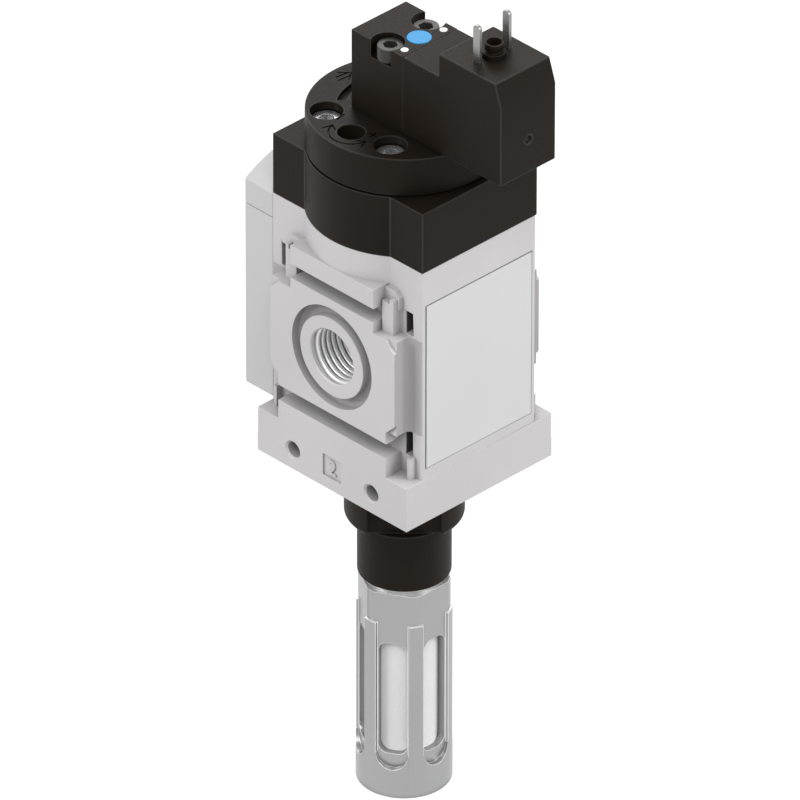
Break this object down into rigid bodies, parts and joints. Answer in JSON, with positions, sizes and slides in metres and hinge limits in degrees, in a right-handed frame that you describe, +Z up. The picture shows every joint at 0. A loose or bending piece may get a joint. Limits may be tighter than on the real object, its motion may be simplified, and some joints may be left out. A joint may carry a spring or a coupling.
{
  "type": "pneumatic solenoid valve",
  "caption": "Modular 3/2-way pneumatic solenoid valve with a block-shaped pilot valve on top, side ports and an exhaust silencer below.",
  "frame": {"origin": "centre of the mouth of port 2, on its port face", "axes": "+X from port 2 into the valve along the port axis, +Z up towards the pilot valve, -Y towards the front panel"},
  "size_m": [0.04, 0.0631, 0.1874],
  "materials": {
    "grey_metal": "satin light grey cast metal",
    "panel": "matte",
    "cover": "matte",
    "black_plastic": "matte black",
    "dark_plastic": "matte",
    "white_plastic": "matte",
    "blue_plastic": "satin sky blue",
    "bobbin_plastic": "matte",
    "porous_plastic": "porous, matte white",
    "rubber": "matte black",
    "steel": "bright",
    "plated_metal": "silver plated",
    "brass": "machined",
    "copper": "enamelled copper wire",
    "aluminium": "satin turned aluminium"
  },
  "bodies": {
    "valve": {"housing": "grey_metal", "front_panel": "panel", "rear_cover": "cover", "rear_top_cover": "cover", "stem_guide": "brass", "return_spring": "steel", "piston_cap": "black_plastic", "cap_gasket": "rubber", "pilot_base": "black_plastic", "base_seal": "rubber", "cap_screws": "steel", "pilot_body": "black_plastic", "pilot_gasket": "rubber", "pilot_screws": "steel", "marker_plugs": "white_plastic", "override_spring": "steel", "coil_housing": "black_plastic", "coil_bobbin": "bobbin_plastic", "coil_winding": "copper", "fixed_core": "steel", "contact_blades": "plated_metal", "plug_post": "black_plastic", "exhaust_adapter": "black_plastic", "adapter_seal": "rubber", "silencer_cage": "aluminium", "silencer_element": "porous_plastic"},
    "piston": {"main_piston": "dark_plastic", "piston_seal": "rubber", "valve_stem": "steel", "supply_poppet": "rubber", "exhaust_poppet": "rubber"},
    "override": {"override_button": "blue_plastic", "override_seal": "rubber"},
    "armature": {"armature": "steel", "armature_seal": "rubber", "armature_spring": "steel"},
    "screw": {"adjusting_screw": "brass"},
    "needle": {"throttle_needle": "brass"}
  },
  "joints": [
    {"name": "piston_slide", "type": "slide", "parent": "valve", "child": "piston", "axis": [0, 0, 1], "range_m": [0, 0.0035], "stiffness_N_per_m": 900, "springref_m": -0.006, "deforming": ["return_spring"]},
    {"name": "armature_slide", "type": "slide", "parent": "valve", "child": "armature", "axis": [0, -1, 0], "range_m": [0, 0.0008], "stiffness_N_per_m": 800, "springref_m": -0.002},
    {"name": "override_press", "type": "slide", "parent": "valve", "child": "override", "axis": [0, 0, -1], "range_m": [0, 0.0012], "stiffness_N_per_m": 900, "springref_m": -0.001, "deforming": ["override_spring"]},
    {"name": "adjusting_screw_turn", "type": "hinge", "parent": "valve", "child": "screw", "pos_m": [0.006, 0.0006, 0.042], "axis": [0, 0, 1], "range_deg": [0, 1170]},
    {"name": "needle_slide", "type": "slide", "parent": "valve", "child": "needle", "axis": [0, 0, 1], "range_m": [0, 0.0015]}
  ],
  "couplings": [
    {"joint": "adjusting_screw_turn", "follows": "needle_slide", "rad_per_m": 12566}
  ]
}
